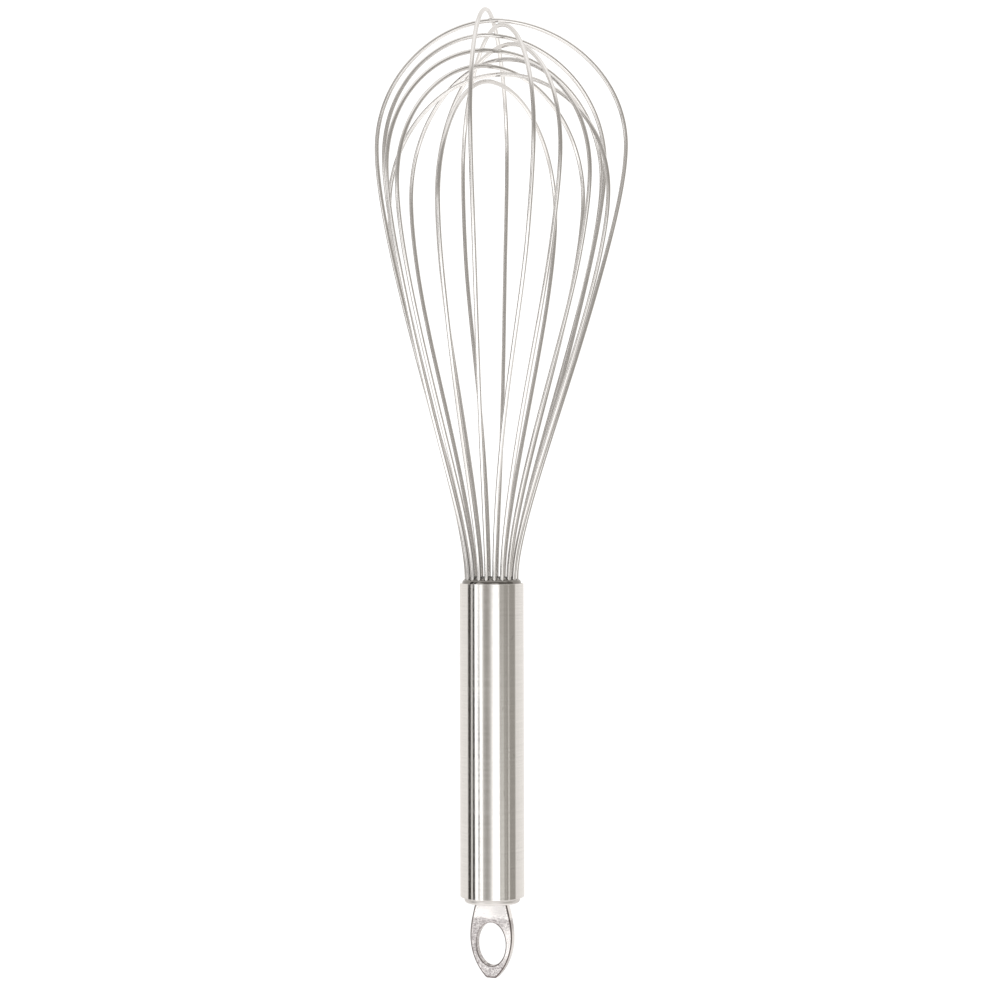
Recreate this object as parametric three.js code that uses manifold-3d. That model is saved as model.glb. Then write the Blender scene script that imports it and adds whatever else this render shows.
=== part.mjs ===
// Balloon whisk. Ten nested wire loops stand in a domed plate at the mouth of a tube handle, and a flat
// hanging eye is pinned into the cap at the handle's other end.
// Millimetres, +Z along the whisk from the eye to the balloon. The origin is the centre of the eye's hole.

import * as THREE from 'three';
import { mergeVertices } from 'three/addons/utils/BufferGeometryUtils.js';
import Module from 'manifold-3d';

const wasm = await Module();
wasm.setup();

// ---- Driving dimensions ----

const tubeDiameter = 20.2;
const tubeLength = 98.5;
const tubeWall = 0.6;
const tubeEdge = 0.15; // chamfer on the tube's two outer rims

const fitGap = 0.2; // round a piece that slides into another
const seatGap = 0.1; // between two faces that seat on each other

const plateThickness = 3;
const plateRise = 2.1; // height of the mouth plate's dome above the tube's rim
const domeShape = 3; // 2 is an ellipse, and more is flatter on top with a steeper side
const plateRim = 0.5; // metal left outside each wire's hole in the plate

const wireDiameter = 1.4;
const wireHoleGap = 0.2; // round each wire in the plate and in the resin
const wireTail = 24; // straight end of each wire inside the handle
const resinBelowTails = 3;

const balloonHeight = 178.6; // from the plate to the outermost wire's crown
const balloonRadius = 39;
const crownRise = 39; // from a loop's widest place up to its crown
const crownGap = 1.1; // between one wire and the next where they cross at the crown
const ringTurn = -2.5; // degrees that the ring of holes stands round from an even left and right
const mouthHandle = 23; // how far a wire keeps on straight up as it leaves the plate
const bulgeHandle = 32; // how far it keeps on straight below its widest place
const shoulderUp = 0.57; // roundness of a loop's shoulder, as a share of the crown's rise
const shoulderOut = 0.52; // and as a share of the loop's radius
const turnEnd = 0.8; // share of the widest place's height where a wire has found its own turn

const capHeight = 1.9; // how far the end cap stands out of the tube
const capSetBack = 1.35; // from the tube's side in to the end cap's
const capEdge = 0.9; // round edge at the end cap's bottom
const capBevel = 0.5; // height of its bevel, from the tube's rim in to the cap's side
const spigotLength = 8;

const eyeHoleWidth = 9.8;
const eyeHoleHeight = 13.5;
const eyeSideWall = 2.2;
const eyeTipWall = 3.85;
const eyeNeckWall = 6.4; // from the hole up to the end cap
const eyeNeckWidth = 10.6;
const eyeTipWidth = 3.1;
const eyeWidest = 2.4; // height of the eye's widest place above the centre of its hole
const eyeThickness = 2.5;
const eyeBevel = 0.35;
const eyeTurn = -22; // degrees about the handle's axis

const tangStep = 0.4; // how far the tang is set back from each edge and face of the eye
const tangLength = 6.5; // inside the tube
const pinDiameter = 2;
const pinInset = 0.8; // from the spigot's side to each end of the pin

// How each wire has settled, from the outermost to the innermost. turn is how far its two arms stand round
// from their holes where the balloon is widest, in degrees, and swell is how much further out than the
// balloon's radius they stand there. lean is the crown's shift towards +X, and sag its drop.
const settled = [
  { turn: [3, 4], swell: [-0.5, 3.5], lean: -0.5, sag: 0 },
  { turn: [20, 3], swell: [3.5, -1.5], lean: 1.5, sag: 0.3 },
  { turn: [10, 9], swell: [3.5, -1], lean: 1.5, sag: 0 },
  { turn: [10, 5], swell: [-1, -5], lean: 0, sag: 0 },
  { turn: [5, 5], swell: [-1, 2], lean: 4, sag: 0.8 },
  { turn: [-2, 12], swell: [-1.5, 1.5], lean: 1.5, sag: 0 },
  { turn: [11, 7], swell: [-3, -3], lean: 2.5, sag: 0.3 },
  { turn: [-4, 2], swell: [-1.5, 1.5], lean: 1, sag: 0 },
  { turn: [1, 5], swell: [1.5, -2.5], lean: 1, sag: 0 },
  { turn: [-1, 4], swell: [1, -0.5], lean: 1.5, sag: 0 },
];

// ---- What follows from them ----

const roundSides = 48;
const holeSides = 10;
const wireSides = 8;
const wireSteps = 60;
const pinSides = 16;
const cutPast = 1; // how far a cutting tool runs past the face it starts or ends at

const tubeRadius = tubeDiameter / 2;
const capRadius = tubeRadius - capSetBack;
const boreRadius = tubeRadius - tubeWall;
const plugRadius = boreRadius - fitGap;
const wireRadius = wireDiameter / 2;
const wireHoleRadius = wireRadius + wireHoleGap;
const ringRadius = plugRadius - plateRim - wireHoleRadius;

const capBottom = eyeHoleHeight / 2 + eyeNeckWall;
const tubeBottom = capBottom + capHeight;
const tubeTop = tubeBottom + tubeLength;
const spigotTop = tubeBottom + spigotLength;
const pinHeight = tubeBottom + tangLength / 2;

const domeHeight = (radius) => plateRise * (1 - (radius / plugRadius) ** domeShape) ** (1 / domeShape);
const wireFoot = tubeTop + domeHeight(ringRadius);
const tailEnd = wireFoot - wireTail;
const plateUnderside = tubeTop - plateThickness;

const holeStep = 180 / settled.length; // the two ends of every loop share one ring of holes
const crownStep = wireDiameter + crownGap;

// Loops that follow each other in the nest cross squarely, and every second one moves on by a hole.
const plateTurn = (index) => ringTurn + holeStep * (Math.floor(index / 2) - 0.5) + 90 * (index % 2);

// ---- Small tools ----

const { degToRad, smoothstep } = THREE.MathUtils;
const point = (x, y) => new THREE.Vector2(x, y);

// A quarter of an ellipse about (x, y), from the direction of its first angle to that of its second.
const quarter = (x, y, radiusX, radiusY, from, steps) =>
  new THREE.EllipseCurve(x, y, radiusX, radiusY, degToRad(from), degToRad(from + 90)).getPoints(steps);

// A profile of (radius, height) points turned about the Z axis.
const turned = (profile) => new THREE.LatheGeometry(profile, roundSides).rotateX(Math.PI / 2);

const rod = (radius, low, high, sides) =>
  new THREE.CylinderGeometry(radius, radius, high - low, sides)
    .rotateX(Math.PI / 2)
    .translate(0, 0, (low + high) / 2);

const solid = (geometry) => {
  const bare = geometry.clone();
  bare.deleteAttribute('normal');
  bare.deleteAttribute('uv');
  const merged = mergeVertices(bare);
  const corners = Array.from(merged.index.array);
  const triangles = [];
  for (let i = 0; i < corners.length; i += 3) {
    const [a, b, c] = corners.slice(i, i + 3);
    if (a !== b && b !== c && c !== a) triangles.push(a, b, c); // the rest have closed up at a pole
  }
  const vertProperties = new Float32Array(merged.attributes.position.array);
  const triVerts = new Uint32Array(triangles);
  return new wasm.Manifold(new wasm.Mesh({ numProp: 3, vertProperties, triVerts }));
};

const geometryOf = (manifold) => {
  const mesh = manifold.getMesh();
  const geometry = new THREE.BufferGeometry();
  geometry.setAttribute('position', new THREE.BufferAttribute(mesh.vertProperties, 3));
  geometry.setIndex(new THREE.BufferAttribute(mesh.triVerts, 1));
  geometry.computeVertexNormals();
  return geometry;
};

const cut = (body, tools) => {
  const left = tools.reduce((rest, tool) => rest.subtract(solid(tool)), solid(body));
  return geometryOf(left);
};

// ---- Handle ----

const handleTube = () =>
  turned([
    point(boreRadius, tubeBottom),
    point(tubeRadius - tubeEdge, tubeBottom),
    point(tubeRadius, tubeBottom + tubeEdge),
    point(tubeRadius, tubeTop - tubeEdge),
    point(tubeRadius - tubeEdge, tubeTop),
    point(boreRadius, tubeTop),
    point(boreRadius, tubeBottom),
  ]);

// The cap's flange closes the tube's end and its spigot fills the bore behind it. The eye's tang stands in
// a slot through both, held by a pin across the spigot.
const endCap = () => {
  const flangeTop = tubeBottom - seatGap;
  const body = turned([
    point(0, capBottom),
    ...quarter(capRadius - capEdge, capBottom + capEdge, capEdge, capEdge, -90, 5),
    point(capRadius, flangeTop - capBevel),
    point(tubeRadius - tubeEdge, flangeTop),
    point(plugRadius, flangeTop),
    point(plugRadius, spigotTop),
    point(0, spigotTop),
  ]);
  return cut(body, [tangBar(fitGap, capBottom - cutPast, spigotTop + cutPast), pinRod(fitGap, tubeDiameter)]);
};

// ---- Hanging eye ----

// The tang is a flat bar between two heights, and the pin goes through it from face to face. The cap is cut
// to the same two shapes, grown by a gap.
const tangBar = (gap, low, high) => {
  const setBack = 2 * (gap - tangStep);
  return new THREE.BoxGeometry(eyeNeckWidth + setBack, eyeThickness + setBack, high - low)
    .translate(0, 0, (low + high) / 2)
    .rotateZ(degToRad(eyeTurn));
};

const pinRod = (gap, length) =>
  rod(pinDiameter / 2 + gap, -length / 2, length / 2, pinSides)
    .rotateX(Math.PI / 2)
    .translate(0, 0, pinHeight)
    .rotateZ(degToRad(eyeTurn));

const eyeOutline = () => {
  const neck = eyeNeckWidth / 2;
  const side = eyeHoleWidth / 2 + eyeSideWall;
  const tip = eyeTipWidth / 2;
  const tipHeight = -eyeHoleHeight / 2 - eyeTipWall;
  const neckTop = capBottom - seatGap;
  const rise = neckTop - eyeWidest;
  const fall = eyeWidest - tipHeight;
  const lower = new THREE.CubicBezierCurve(
    point(tip, tipHeight),
    point(0.62 * side, tipHeight + 0.19 * fall),
    point(side, eyeWidest - 0.44 * fall),
    point(side, eyeWidest),
  );
  const upper = new THREE.CubicBezierCurve(
    point(side, eyeWidest),
    point(side, eyeWidest + 0.39 * rise),
    point(0.65 * neck + 0.35 * side, neckTop - 0.27 * rise),
    point(neck, neckTop),
  );
  const right = [...lower.getPoints(9), ...upper.getPoints(7).slice(1)];
  const left = right.map(({ x, y }) => point(-x, y)).reverse();
  return [...right, ...left];
};

const hangingEye = () => {
  const face = new THREE.Shape(eyeOutline());
  const hole = new THREE.Path();
  hole.absellipse(0, 0, eyeHoleWidth / 2, eyeHoleHeight / 2, 0, 2 * Math.PI);
  face.holes.push(hole);
  const flat = new THREE.ExtrudeGeometry(face, {
    depth: eyeThickness - 2 * eyeBevel,
    curveSegments: 16,
    bevelThickness: eyeBevel,
    bevelSize: eyeBevel,
    bevelOffset: -eyeBevel,
    bevelSegments: 2,
  })
    .translate(0, 0, eyeBevel - eyeThickness / 2)
    .rotateX(Math.PI / 2)
    .rotateZ(degToRad(eyeTurn));
  const tangRoot = capBottom - eyeNeckWall / 2;
  const whole = solid(flat).add(solid(tangBar(0, tangRoot, tubeBottom + tangLength)));
  return geometryOf(whole.subtract(solid(pinRod(fitGap, tubeDiameter))));
};

const tangPin = () => pinRod(0, 2 * (plugRadius - pinInset));

// ---- Wires and their seat ----

const wireHoles = (low, high) =>
  Array.from({ length: 2 * settled.length }, (_, index) =>
    rod(wireHoleRadius, low, high, holeSides)
      .translate(0, -ringRadius, 0)
      .rotateZ(degToRad(plateTurn(0) + holeStep * index)),
  );

const mouthPlate = () => {
  const dome = quarter(0, 0, 1, 1, 0, 10).map(({ x, y }) => {
    const radius = plugRadius * Math.max(0, x) ** (2 / domeShape);
    return point(radius, tubeTop + plateRise * y ** (2 / domeShape));
  });
  const body = turned([
    point(0, plateUnderside),
    point(plugRadius, plateUnderside),
    ...dome,
  ]);
  return cut(body, wireHoles(plateUnderside - cutPast, tubeTop + plateRise + cutPast));
};

// The resin is poured round the wires' tails and ends below them.
const resinCore = () => {
  const top = plateUnderside - seatGap;
  const body = rod(plugRadius, tailEnd - resinBelowTails, top, roundSides);
  return cut(body, wireHoles(tailEnd - seatGap, top + cutPast));
};

// One arm of a loop, in the plane of its radius and height: a straight tail, a flare up to the widest
// place, and a shoulder over to the crown.
const armProfile = (radius, crown) => {
  const widest = crown - crownRise;
  const arm = new THREE.CurvePath();
  arm.add(new THREE.LineCurve(point(ringRadius, tailEnd), point(ringRadius, wireFoot)));
  arm.add(
    new THREE.CubicBezierCurve(
      point(ringRadius, wireFoot),
      point(ringRadius, wireFoot + mouthHandle),
      point(radius, widest - bulgeHandle),
      point(radius, widest),
    ),
  );
  arm.add(
    new THREE.CubicBezierCurve(
      point(radius, widest),
      point(radius, widest + shoulderUp * crownRise),
      point(shoulderOut * radius, crown),
      point(0, crown),
    ),
  );
  return arm;
};

// A whole loop: up one arm and down the other. An arm's angle is its hole's angle round from -Y, and it
// drifts to the arm's own turn on the way up.
class WireLoop extends THREE.Curve {
  constructor(index) {
    super();
    this.arcLengthDivisions = 400;
    const { turn, swell, lean, sag } = settled[index];
    this.crown = wireFoot + balloonHeight - crownStep * index - sag;
    this.lean = lean;
    this.arms = [0, 1].map((side) => ({
      profile: armProfile(balloonRadius + swell[side], this.crown),
      foot: plateTurn(index) + 180 * side,
      turn: turn[side],
    }));
  }

  getPoint(t, target = new THREE.Vector3()) {
    const arm = this.arms[t > 0.5 ? 1 : 0];
    const { x: radius, y: height } = arm.profile.getPoint(t > 0.5 ? 2 - 2 * t : 2 * t);
    const widest = this.crown - crownRise - wireFoot;
    const drift = smoothstep(height, wireFoot, wireFoot + turnEnd * widest);
    const angle = degToRad(arm.foot + arm.turn * drift);
    const climb = Math.max(0, height - wireFoot) / (this.crown - wireFoot);
    const shift = this.lean * climb ** 2;
    return target.set(radius * Math.sin(angle) + shift, -radius * Math.cos(angle), height);
  }
}

const wireSection = () =>
  new THREE.Shape(new THREE.EllipseCurve(0, 0, wireRadius, wireRadius).getPoints(wireSides).slice(1));

const wireLoop = (index) =>
  new THREE.ExtrudeGeometry(wireSection(), {
    extrudePath: new WireLoop(index),
    steps: wireSteps,
    bevelEnabled: false,
  });

// ---- The whisk ----

const steel = (color, roughness) => new THREE.MeshStandardMaterial({ color, roughness, metalness: 1 });
const brushedSteel = steel(0xc4c1bd, 0.32);
const wireSteel = steel(0xd2d1cf, 0.18);
const plateSteel = steel(0xb9b7b3, 0.15);
const castSteel = steel(0xd6d2cd, 0.28);
const resin = new THREE.MeshStandardMaterial({ color: 0x4a4740, roughness: 0.8, metalness: 0 });

const whisk = new THREE.Group();

const place = (name, geometry, material) => {
  const mesh = new THREE.Mesh(geometry, material);
  mesh.name = name;
  whisk.add(mesh);
};

place('handle_tube', handleTube(), brushedSteel);
place('end_cap', endCap(), brushedSteel);
place('hanging_eye', hangingEye(), castSteel);
place('tang_pin', tangPin(), castSteel);
place('mouth_plate', mouthPlate(), plateSteel);
place('resin_core', resinCore(), resin);
settled.forEach((_, index) => {
  place(`wire_${String(index + 1).padStart(2, '0')}`, wireLoop(index), wireSteel);
});

export default whisk;
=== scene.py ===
"""Looks of a balloon whisk, built round its CAD frame: fine steel pieces, their finishes and a studio."""

import math

import bpy
import numpy as np
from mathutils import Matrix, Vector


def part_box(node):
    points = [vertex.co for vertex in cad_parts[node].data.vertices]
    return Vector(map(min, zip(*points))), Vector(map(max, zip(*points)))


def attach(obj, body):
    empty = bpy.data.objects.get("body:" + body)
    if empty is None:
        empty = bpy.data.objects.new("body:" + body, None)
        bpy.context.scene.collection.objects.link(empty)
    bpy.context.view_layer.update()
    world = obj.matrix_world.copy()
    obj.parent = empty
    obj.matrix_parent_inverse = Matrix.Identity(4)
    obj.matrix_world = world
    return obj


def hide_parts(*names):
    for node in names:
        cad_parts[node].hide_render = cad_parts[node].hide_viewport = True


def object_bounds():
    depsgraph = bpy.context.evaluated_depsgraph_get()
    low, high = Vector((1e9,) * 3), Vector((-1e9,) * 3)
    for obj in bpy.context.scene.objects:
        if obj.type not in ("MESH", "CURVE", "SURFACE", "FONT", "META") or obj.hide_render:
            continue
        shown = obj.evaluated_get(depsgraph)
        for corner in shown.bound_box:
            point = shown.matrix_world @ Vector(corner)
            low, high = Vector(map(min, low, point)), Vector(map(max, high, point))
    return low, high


bl_info = {
    "name": "Balloon Whisk",
    "version": (1, 0, 0),
    "blender": (4, 5, 0),
    "location": "3D View > Sidebar > Whisk",
    "description": "Makes the fine pieces, the finishes and the studio of a balloon whisk",
    "category": "Add Mesh",
}

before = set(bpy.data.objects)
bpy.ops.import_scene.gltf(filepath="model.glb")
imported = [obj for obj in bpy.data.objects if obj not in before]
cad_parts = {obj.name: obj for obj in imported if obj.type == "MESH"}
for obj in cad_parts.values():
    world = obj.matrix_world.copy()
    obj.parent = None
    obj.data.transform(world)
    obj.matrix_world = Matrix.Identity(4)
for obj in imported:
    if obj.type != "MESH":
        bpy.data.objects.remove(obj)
cad_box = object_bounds()

MM = 0.001
BODY = "root"
HANDLE_SIDES = 256
CLOSE_ENOUGH = 0.25 * MM  # most that a fine wire's box may differ from its CAD wire's
POLE = 0.2 * MM  # radius of the small ring that a turned piece's end is closed from

# ---- What the frame gives ----

TUBE_LOW, TUBE_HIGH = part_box("handle_tube")
CAP_LOW, CAP_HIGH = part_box("end_cap")
PLATE_LOW, PLATE_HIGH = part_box("mouth_plate")
EYE_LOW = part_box("hanging_eye")[0]
TUBE_RADIUS = TUBE_HIGH.x
TUBE_BOTTOM, TUBE_TOP = TUBE_LOW.z, TUBE_HIGH.z
PLUG_RADIUS = PLATE_HIGH.x
PLATE_RISE = PLATE_HIGH.z - TUBE_TOP
DOME_SHAPE = 3.0  # 2 is an ellipse, and more is flatter on top with a steeper side
TAIL_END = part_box("wire_01")[0].z

# How each wire has settled, from the outermost to the innermost: the turn of its two arms in degrees, the
# swell of the two arms, the crown's lean towards +X and its sag, in millimetres.
SETTLED = [
    ((3, 4), (-0.5, 3.5), -0.5, 0),
    ((20, 3), (3.5, -1.5), 1.5, 0.3),
    ((10, 9), (3.5, -1), 1.5, 0),
    ((10, 5), (-1, -5), 0, 0),
    ((5, 5), (-1, 2), 4, 0.8),
    ((-2, 12), (-1.5, 1.5), 1.5, 0),
    ((11, 7), (-3, -3), 2.5, 0.3),
    ((-4, 2), (-1.5, 1.5), 1, 0),
    ((1, 5), (1.5, -2.5), 1, 0),
    ((-1, 4), (1, -0.5), 1.5, 0),
]

# Degrees that the ring of holes in the mouth plate stands round from an even left and right.
RING_TURN = -2.5

# What the studio shows to the steel: middle and half size in degrees round from the front (+ is to the
# right) and up from the horizon, softness of the edge, how far the shape leans to the right for each degree
# down, and brightness. Each one lies over those before it.
STUDIO = [
    ("ceiling", 0, 181, 90, 31, 8, 0, (1.18, 1.16, 1.14)),
    ("bench", 0, 181, -90, 44, 9, 0, (1.5, 1.47, 1.44)),
    ("front_bench", -12, 56, -15.5, 17.5, 5, 0, (1.75, 1.735, 1.72)),
    ("room", 5, 52, 30, 22, 5, 0, (0.45, 0.43, 0.405)),
    ("high_flag_right", 84, 9, 26, 22, 3, 0, (0.14, 0.13, 0.12)),
    ("high_flag_left", -80, 14, 26, 14, 3, 0, (0.30, 0.285, 0.27)),
    ("right_wall", 60, 33.4, 5, 27, 3, 0.1, (0.385, 0.365, 0.335)),
    ("right_edge", 104, 10.5, -4, 34, 2.5, 0, (0.93, 0.90, 0.87)),
    ("pale_wall", 38, 7, -13, 8.5, 2.5, 0, (0.84, 0.82, 0.78)),
    ("wall_glint", 51, 1.2, -13, 8, 1.6, 0, (0.74, 0.72, 0.68)),
    ("wall_light_top", 62.5, 1.3, -2, 4, 1.8, 0, (0.66, 0.64, 0.60)),
    ("wall_light", 63.5, 1.9, -13, 8, 1.8, 0, (1.15, 1.12, 1.07)),
    ("camera_haze", -19, 18.5, -4, 12, 11, 0, (0.46, 0.44, 0.415)),
    ("camera", -18.5, 5, -4, 12, 3, 0, (0.39, 0.37, 0.345)),
    ("left_box", -50.5, 14.8, -12, 17, 2.2, -0.3, (1.75, 1.735, 1.72)),
    ("box_haze", -34, 3, 1, 2, 5, 0, (0.70, 0.68, 0.65)),
    ("left_line", -48, 1.1, -3, 3, 1.2, 0, (0.90, 0.87, 0.85)),
    ("left_edge", -47.9, 5.0, -6.7, 3.1, 1.0, 0, (0.04, 0.03, 0.03)),
    ("left_flag", -86.4, 7.6, 3.5, 27.5, 1.3, -0.2, (0.06, 0.055, 0.05)),
    ("left_gap", -75.2, 2.9, 3.5, 27.5, 1.2, -0.2, (0.93, 0.90, 0.87)),
    ("left_stand", -67.6, 3.9, 3.5, 27.5, 1.0, -0.2, (0.02, 0.02, 0.02)),
    ("left_stand_foot", -68.8, 5.7, -9.5, 5, 1.0, 0, (0.06, 0.055, 0.05)),
]
SURROUND = (0.98, 0.95, 0.92)
MOST_LEVEL_SOFTNESS = 5  # degrees that a shape's upper and lower edges are softened by at most


# ---- Settings ----


def length(name, description, millimetres):
    """A length setting, given in millimetres and kept in metres."""
    return bpy.props.FloatProperty(
        name=name,
        description=description,
        default=millimetres * MM,
        subtype="DISTANCE",
        unit="LENGTH",
        precision=5,
    )


def share(name, description, value):
    """A setting from 0 to 1."""
    return bpy.props.FloatProperty(
        name=name, description=description, default=value, min=0, max=1, subtype="FACTOR"
    )


def colour(name, description, value):
    """A colour setting, in linear light."""
    return bpy.props.FloatVectorProperty(
        name=name, description=description, default=value, size=3, min=0, max=1, subtype="COLOR"
    )


class HandleSettings(bpy.types.PropertyGroup):
    """Tube handle and end cap."""

    wall: length("Wall", "Thickness of the tube's wall", 0.6)
    rim: length("Rim rounding", "Rounding of the tube's rim at the mouth", 0.1)
    foot_rim: length("Foot rounding", "Rounding of the tube's rim at the cap", 0.1)
    bore_rim: length("Bore rounding", "Rounding of the tube's two inner rims", 0.08)
    cap_set_back: length("Cap set-back", "From the tube's side in to the end cap's", 1.35)
    cap_edge: length("Cap edge", "Rounding of the edge at the end cap's bottom", 0.9)
    cap_bevel: length("Cap bevel", "Height of the bevel from the tube's rim in to the cap's side", 0.5)
    seat_gap: length("Seat gap", "Seam left between the cap's flange and the tube", 0.02)
    steel: colour("Steel", "Colour of the brushed steel", (0.80, 0.785, 0.765))
    groove: colour("Groove", "Colour in the brushed grooves", (0.66, 0.645, 0.625))
    # Painted shade: colour of a dark line round the cap's bottom edge, for the shade where the eye's neck
    # meets the cap.
    cap_shadow_line: colour("Stain", "Colour of the dark line round the cap's bottom edge", (0.10, 0.09, 0.09))


class WireSettings(bpy.types.PropertyGroup):
    """Balloon wires and the plate they stand in."""

    diameter: length("Wire", "Diameter of the wire", 1.4)
    hole_gap: length("Hole gap", "Gap round each wire in the plate", 0.2)
    plate_rim: length("Plate rim", "Metal outside each hole of the plate", 0.5)
    height: length("Balloon height", "From the plate to the outermost crown", 178.6)
    radius: length("Balloon radius", "Radius of the balloon where it is widest", 39)
    crown_rise: length("Crown rise", "From a loop's widest place up to its crown", 39)
    crown_step: length("Crown step", "From each crown down to the next", 2.5)
    mouth_handle: length("Mouth stiffness", "How far a wire keeps on straight up from the plate", 23)
    bulge_handle: length("Bulge stiffness", "How far it keeps on straight below its widest place", 32)
    shoulder_up: share("Shoulder up", "Roundness of the shoulder, as a share of the crown's rise", 0.57)
    shoulder_out: share("Shoulder out", "Roundness of the shoulder, as a share of the radius", 0.52)
    turn_end: share("Turn end", "Share of the way to the widest place where a wire's turn is complete", 0.8)
    steel: colour("Steel", "Colour of the bright wire", (0.78, 0.77, 0.76))
    die_line: colour("Die line", "Colour in the lines that the drawing die leaves", (0.60, 0.58, 0.56))
    plate: colour("Plate", "Colour of the mouth plate, tinted by the heat of brazing", (0.24, 0.23, 0.215))
    # Painted shade: near-black colour for the shade in the plate's holes and inside the ring of wires.
    plate_hollow_shade: colour("Soot", "Colour of the dull metal inside the ring of wires", (0.035, 0.033, 0.03))
    # Painted shade: a dark colour down one side of each front wire's foot, and how far it climbs, for the
    # shade the crowded wires throw on each other near the plate.
    wire_foot_shade: colour("Tint", "Colour of the heat tint down one side of each wire's foot", (0.10, 0.095, 0.09))
    foot_shade_rise: length("Tint rise", "How far the heat tint climbs from the plate", 36)


class EyeSettings(bpy.types.PropertyGroup):
    """Hanging eye."""

    hole_width: length("Hole width", "Width of the oval hole", 9.8)
    hole_height: length("Hole height", "Height of the oval hole", 13.5)
    side_wall: length("Side wall", "Metal at each side of the hole", 2.2)
    neck_width: length("Neck width", "Width where the eye meets the cap", 10.6)
    tip_width: length("Tip width", "Width of the blunt tip", 3.1)
    widest: length("Widest place", "Height of the widest place above the hole's middle", 2.4)
    thickness: length("Thickness", "Thickness of the eye", 2.5)
    edge: length("Edge", "Rounding of the eye's edges", 0.35)
    turn: bpy.props.FloatProperty(
        name="Turn",
        description="Turn of the eye about the handle's axis",
        default=math.radians(-22),
        subtype="ANGLE",
        unit="ROTATION",
    )
    steel: colour("Steel", "Colour of the tumbled cast steel", (0.84, 0.815, 0.80))
    grain: colour("Grain", "Colour in the cast grain", (0.25, 0.225, 0.23))
    # Painted shade: dark colour round the eye's outline and hole, standing in for the dark reflection of its
    # rounded rims.
    skin: colour("Skin", "Colour of the dark casting skin left on the edges", (0.10, 0.075, 0.07))


class InsideSettings(bpy.types.PropertyGroup):
    """Pieces inside the handle."""

    resin: colour("Resin", "Colour of the poured resin", (0.075, 0.068, 0.055))
    pin: colour("Pin", "Colour of the ground pin", (0.62, 0.61, 0.60))


class StudioSettings(bpy.types.PropertyGroup):
    """Camera, floor and light."""

    distance: length("Distance", "From the camera to the whisk's axis", 750)
    camera_height: length("Camera height", "Height of the camera above the eye's hole", 139.75)
    camera_right: length("Camera right", "How far the camera stands to the right of the axis", 2.69)
    camera_roll: bpy.props.FloatProperty(
        name="Camera roll",
        description="Turn of the camera about its own line of sight",
        default=math.radians(0.126),
        subtype="ANGLE",
        unit="ROTATION",
    )
    lens: bpy.props.FloatProperty(
        name="Lens", description="Focal length", default=85.7, min=10, subtype="DISTANCE_CAMERA"
    )
    drop: length("Floor drop", "From the eye's tip down to the floor", 90)
    floor_size: length("Floor size", "Width of the floor", 6000)
    floor: colour("Floor", "Colour of the pale floor", (0.95, 0.95, 0.95))
    light: bpy.props.FloatProperty(
        name="Light", description="Brightness of the plain white light", default=1.2, min=0
    )


# ---- Shapes ----


def bezier(points, along):
    """Cubic curve from the first to the last of four points, pulled towards the two between them."""
    start, first, second, end = np.asarray(points, float)
    t = along[:, None]
    return (1 - t) ** 3 * start + 3 * (1 - t) ** 2 * t * first + 3 * (1 - t) * t**2 * second + t**3 * end


def smooth(value, low, high):
    """0 below low, 1 above high, and the cubic 3s^2 - 2s^3 of the share s between them."""
    s = np.clip((value - low) / (high - low), 0, 1)
    return s * s * (3 - 2 * s)


def spread_evenly(points, count):
    """The same polyline with count points at equal distances along it."""
    steps = np.linalg.norm(np.diff(points, axis=0), axis=1)
    travelled = np.concatenate([[0], np.cumsum(steps)])
    wanted = np.linspace(0, travelled[-1], count)
    return np.stack([np.interp(wanted, travelled, axis) for axis in points.T], axis=1)


def rounded_profile(corners, closed, steps=8, support=0.04 * MM):
    """Outline of straight legs whose corners are arcs that touch both legs.

    Each corner is (radius, height, rounding). A point just past each end of an arc keeps the leg's shading
    flat.
    """
    outline = []
    places = np.array([corner[:2] for corner in corners], float)
    for index, (*_, rounding) in enumerate(corners):
        here = places[index]
        is_end = not closed and index in (0, len(corners) - 1)
        if is_end or rounding == 0:
            outline.append(here[None])
            continue
        back = places[index - 1] - here
        ahead = places[(index + 1) % len(corners)] - here
        back, ahead = back / np.linalg.norm(back), ahead / np.linalg.norm(ahead)
        half = math.acos(np.clip(back @ ahead, -1, 1)) / 2
        inset = rounding / math.tan(half)
        middle = here + (back + ahead) / np.linalg.norm(back + ahead) * rounding / math.sin(half)
        first, last = here + back * inset - middle, here + ahead * inset - middle
        sweep = math.pi - 2 * half
        t = np.linspace(0, 1, steps + 1)[:, None]
        arc = middle + (np.sin((1 - t) * sweep) * first + np.sin(t * sweep) * last) / math.sin(sweep)
        outline += [(here + back * (inset + support))[None], arc, (here + ahead * (inset + support))[None]]
    return np.concatenate(outline)


def turned(profile, sides):
    """Grid of a (radius, height) profile turned about the whisk's axis.

    The point at angle a is (radius times sin a, minus radius times cos a, height).
    """
    angle = np.linspace(0, 2 * np.pi, sides, endpoint=False)
    radius, height = profile[:, :1], profile[:, 1:]
    return np.stack([radius * np.sin(angle), -radius * np.cos(angle), height + 0 * angle], axis=2)


def grid_faces(rows, columns, closed_rows):
    """Corners and UV shares of the quads of a grid whose columns run round and meet."""
    row_count = rows if closed_rows else rows - 1
    row, column = np.meshgrid(np.arange(row_count), np.arange(columns), indexing="ij")
    row, column = row.ravel(), column.ravel()
    next_row, next_column = (row + 1) % rows, (column + 1) % columns
    corners = np.stack([row * columns + column, row * columns + next_column,
                        next_row * columns + next_column, next_row * columns + column], axis=1)
    across = np.stack([column, column + 1, column + 1, column], axis=1) / columns
    along = np.stack([row, row, row + 1, row + 1], axis=1)
    return corners, across, along


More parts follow.
